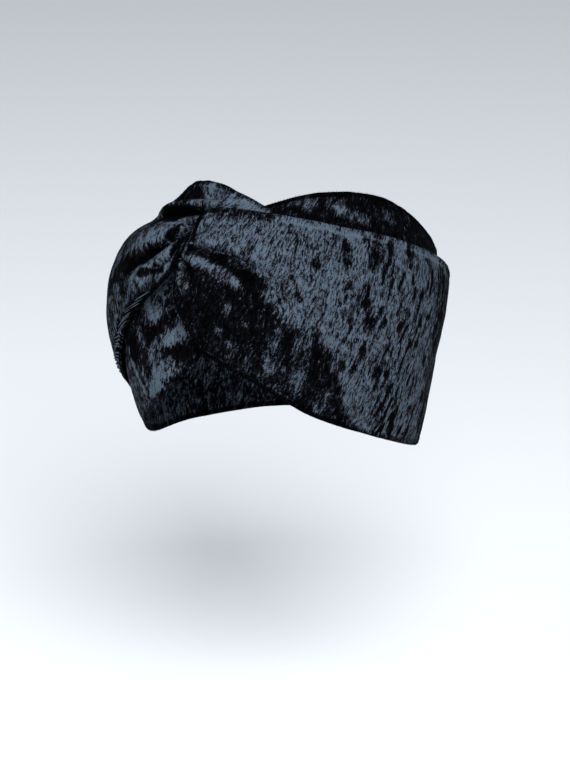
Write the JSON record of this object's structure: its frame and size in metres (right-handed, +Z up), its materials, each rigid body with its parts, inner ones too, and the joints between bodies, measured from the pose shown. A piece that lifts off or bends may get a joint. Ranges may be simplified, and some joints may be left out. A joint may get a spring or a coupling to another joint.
{
  "type": "twist headband",
  "caption": "Wide twist headband of black crushed velvet: hemmed strips hooked through each other at the forehead, open hollow for the head.",
  "frame": {"origin": "middle of the head that the band is worn on, level with the band's middle at the temples", "axes": "+Z up along the upright head, the forehead and the twist face -Y, +X is the wearer's left"},
  "size_m": [0.1565, 0.2047, 0.1601],
  "materials": {
    "velvet": "crushed pile, near black in the folds and slate grey where the light catches it"
  },
  "bodies": {
    "root": {"left_band": "velvet", "right_band": "velvet"}
  },
  "joints": []
}
